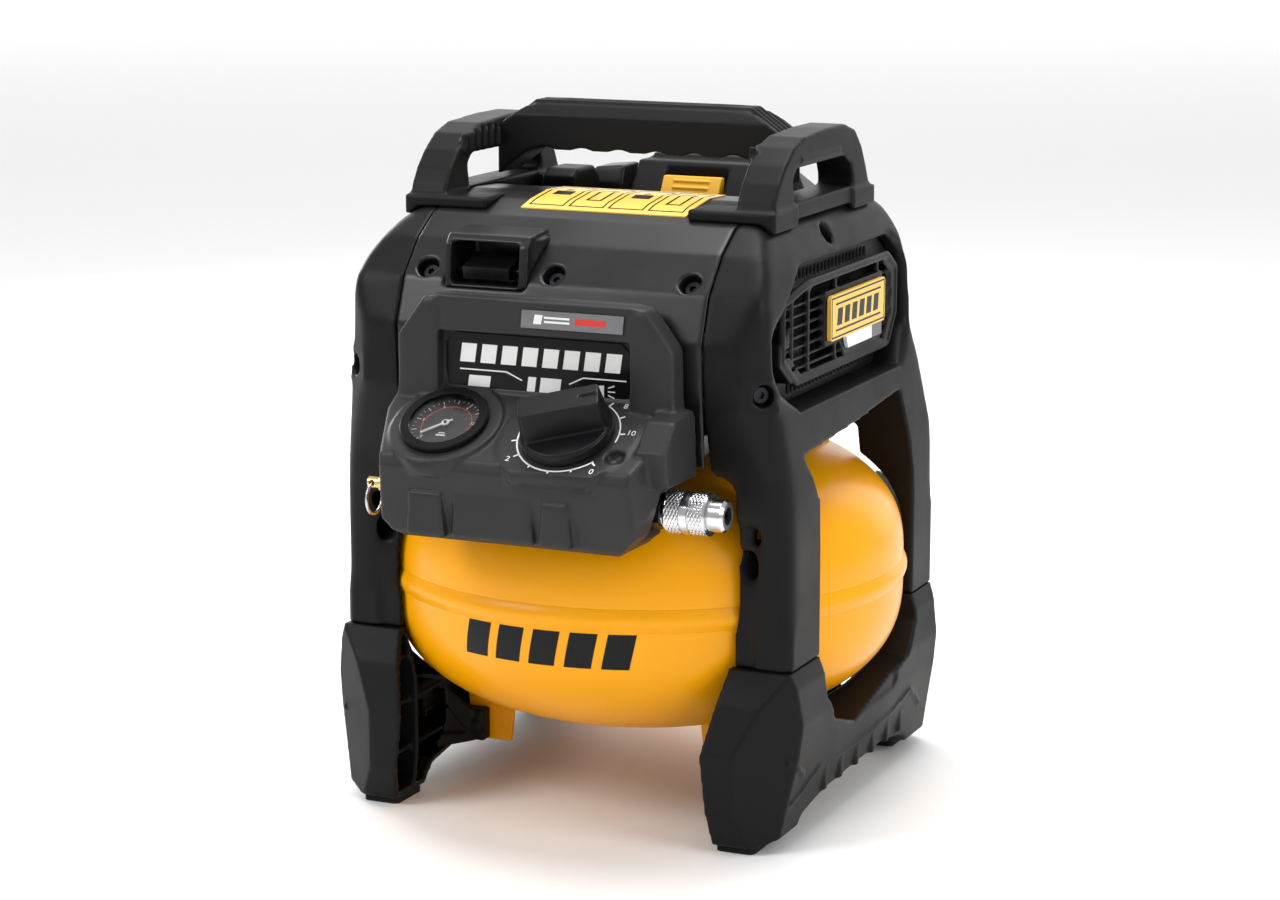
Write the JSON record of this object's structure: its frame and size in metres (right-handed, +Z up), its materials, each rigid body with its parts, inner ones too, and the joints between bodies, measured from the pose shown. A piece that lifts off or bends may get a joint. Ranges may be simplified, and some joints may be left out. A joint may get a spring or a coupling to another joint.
{
  "type": "pancake air compressor",
  "caption": "Portable air compressor: flat round steel tank between two moulded side frames, with a console, quick coupler, carry handles and a removable battery.",
  "frame": {"origin": "on the floor, under the centre of the overall box", "axes": "+Z up, -Y the console side, +X the quick coupler side"},
  "size_m": [0.3248, 0.3704, 0.42],
  "materials": {
    "tank_yellow": "satin amber powder coat with a light orange peel",
    "frame_black": "fine spark-eroded grain",
    "shroud_black": "fine grain, slight sheen",
    "console_grey": "fine grain, slight sheen",
    "grille_black": "fine grain",
    "handle_black": "textured nylon",
    "battery_black": "textured nylon",
    "knob_black": "smooth matt",
    "gloss_black": "polished",
    "rubber": "matt",
    "label_yellow": "printed film",
    "latch_yellow": "moulded",
    "badge_grey": "satin film",
    "dial_black": "printed",
    "needle_white": "matt white",
    "gauge_glass": "clear",
    "nickel": "knurled nickel plate",
    "brass": "machined",
    "steel": "satin",
    "dark_steel": "blackened",
    "aluminium": "machined",
    "cast_aluminium": "as cast",
    "board_green": "coated board"
  },
  "bodies": {
    "base": {"air_manifold": "cast_aluminium", "badge_plate": "badge_grey", "battery_dock": "frame_black", "centre_shroud": "shroud_black", "check_valve": "brass", "console": "console_grey", "controller_board": "board_green", "coupler_adapter": "dark_steel", "coupler_body": "nickel", "crankcase": "cast_aluminium", "cylinder": "aluminium", "cylinder_head": "cast_aluminium", "discharge_tube": "aluminium", "drain_valve": "brass", "foot_pads": "rubber", "gauge_bezel": "gloss_black", "gauge_case": "gloss_black", "gauge_dial": "dial_black", "gauge_lens": "gauge_glass", "grille_left": "grille_black", "grille_right": "grille_black", "housing_screws": "dark_steel", "label_strip": "label_yellow", "leg_gussets": "frame_black", "lower_frame_left": "frame_black", "lower_frame_right": "frame_black", "motor_stator": "steel", "nameplate_left": "label_yellow", "nameplate_right": "label_yellow", "pressure_switch": "gloss_black", "pump_saddle": "cast_aluminium", "rear_bumpers": "frame_black", "regulator_body": "brass", "relief_valve": "brass", "side_frame_left": "frame_black", "side_frame_right": "frame_black", "side_handle_left": "handle_black", "side_handle_right": "handle_black", "switch_hood": "shroud_black", "tank_lower_shell": "tank_yellow", "tank_saddles": "tank_yellow", "tank_tabs": "tank_yellow", "tank_upper_shell": "tank_yellow", "tank_weld_band": "tank_yellow", "top_handle": "handle_black", "valve_plate": "steel"},
    "knob": {"regulator_knob": "knob_black"},
    "rocker": {"rocker_switch": "gloss_black"},
    "sleeve": {"coupler_sleeve": "nickel"},
    "relief_plunger": {"relief_stem": "brass"},
    "relief_pull_ring": {"relief_ring": "steel"},
    "lever": {"drain_lever": "steel"},
    "battery": {"battery_case": "battery_black"},
    "latch_button": {"battery_button": "latch_yellow"},
    "needle": {"gauge_needle": "needle_white"},
    "drive": {"motor_rotor": "steel", "cooling_fan": "knob_black", "crank_counterweight": "dark_steel"},
    "piston": {"piston_rod": "aluminium", "piston_seal": "rubber"}
  },
  "joints": [
    {"name": "regulator_turn", "type": "hinge", "parent": "base", "child": "knob", "pos_m": [0.032, -0.15716, 0.248], "axis": [0, -0.53, 0.848], "range_deg": [-60, 215]},
    {"name": "switch_rock", "type": "hinge", "parent": "base", "child": "rocker", "pos_m": [-0.044, -0.10116, 0.33], "axis": [1, 0, 0], "range_deg": [0, 18]},
    {"name": "sleeve_slide", "type": "slide", "parent": "base", "child": "sleeve", "axis": [-1, 0, 0], "range_m": [0, 0.0025], "stiffness_N_per_m": 900, "springref_m": -0.002},
    {"name": "relief_pull", "type": "slide", "parent": "base", "child": "relief_plunger", "axis": [-1, 0, 0], "range_m": [0, 0.003], "stiffness_N_per_m": 1200, "springref_m": -0.001},
    {"name": "relief_ring_swing", "type": "hinge", "parent": "relief_plunger", "child": "relief_pull_ring", "pos_m": [-0.104, -0.13916, 0.206], "axis": [0, 1, 0], "range_deg": [-8, 75]},
    {"name": "drain_turn", "type": "hinge", "parent": "base", "child": "lever", "pos_m": [0.062, 0.01684, 0.018], "axis": [0, 0, 1], "range_deg": [0, 90]},
    {"name": "battery_slide", "type": "slide", "parent": "base", "child": "battery", "axis": [0, 0, 1], "range_m": [0, 0.1]},
    {"name": "latch_press", "type": "slide", "parent": "battery", "child": "latch_button", "axis": [0, 1, 0], "range_m": [0, 0.004], "stiffness_N_per_m": 700, "springref_m": -0.002},
    {"name": "needle_turn", "type": "hinge", "parent": "base", "child": "needle", "pos_m": [-0.046, -0.15716, 0.248], "axis": [0, 0.53, -0.848], "range_deg": [0, 270]},
    {"name": "drive_spin", "type": "hinge", "parent": "base", "child": "drive", "pos_m": [0, 0.00284, 0.288], "axis": [1, 0, 0], "continuous": true},
    {"name": "piston_slide", "type": "slide", "parent": "base", "child": "piston", "axis": [0, 1, 0], "range_m": [0, 0.018]}
  ]
}
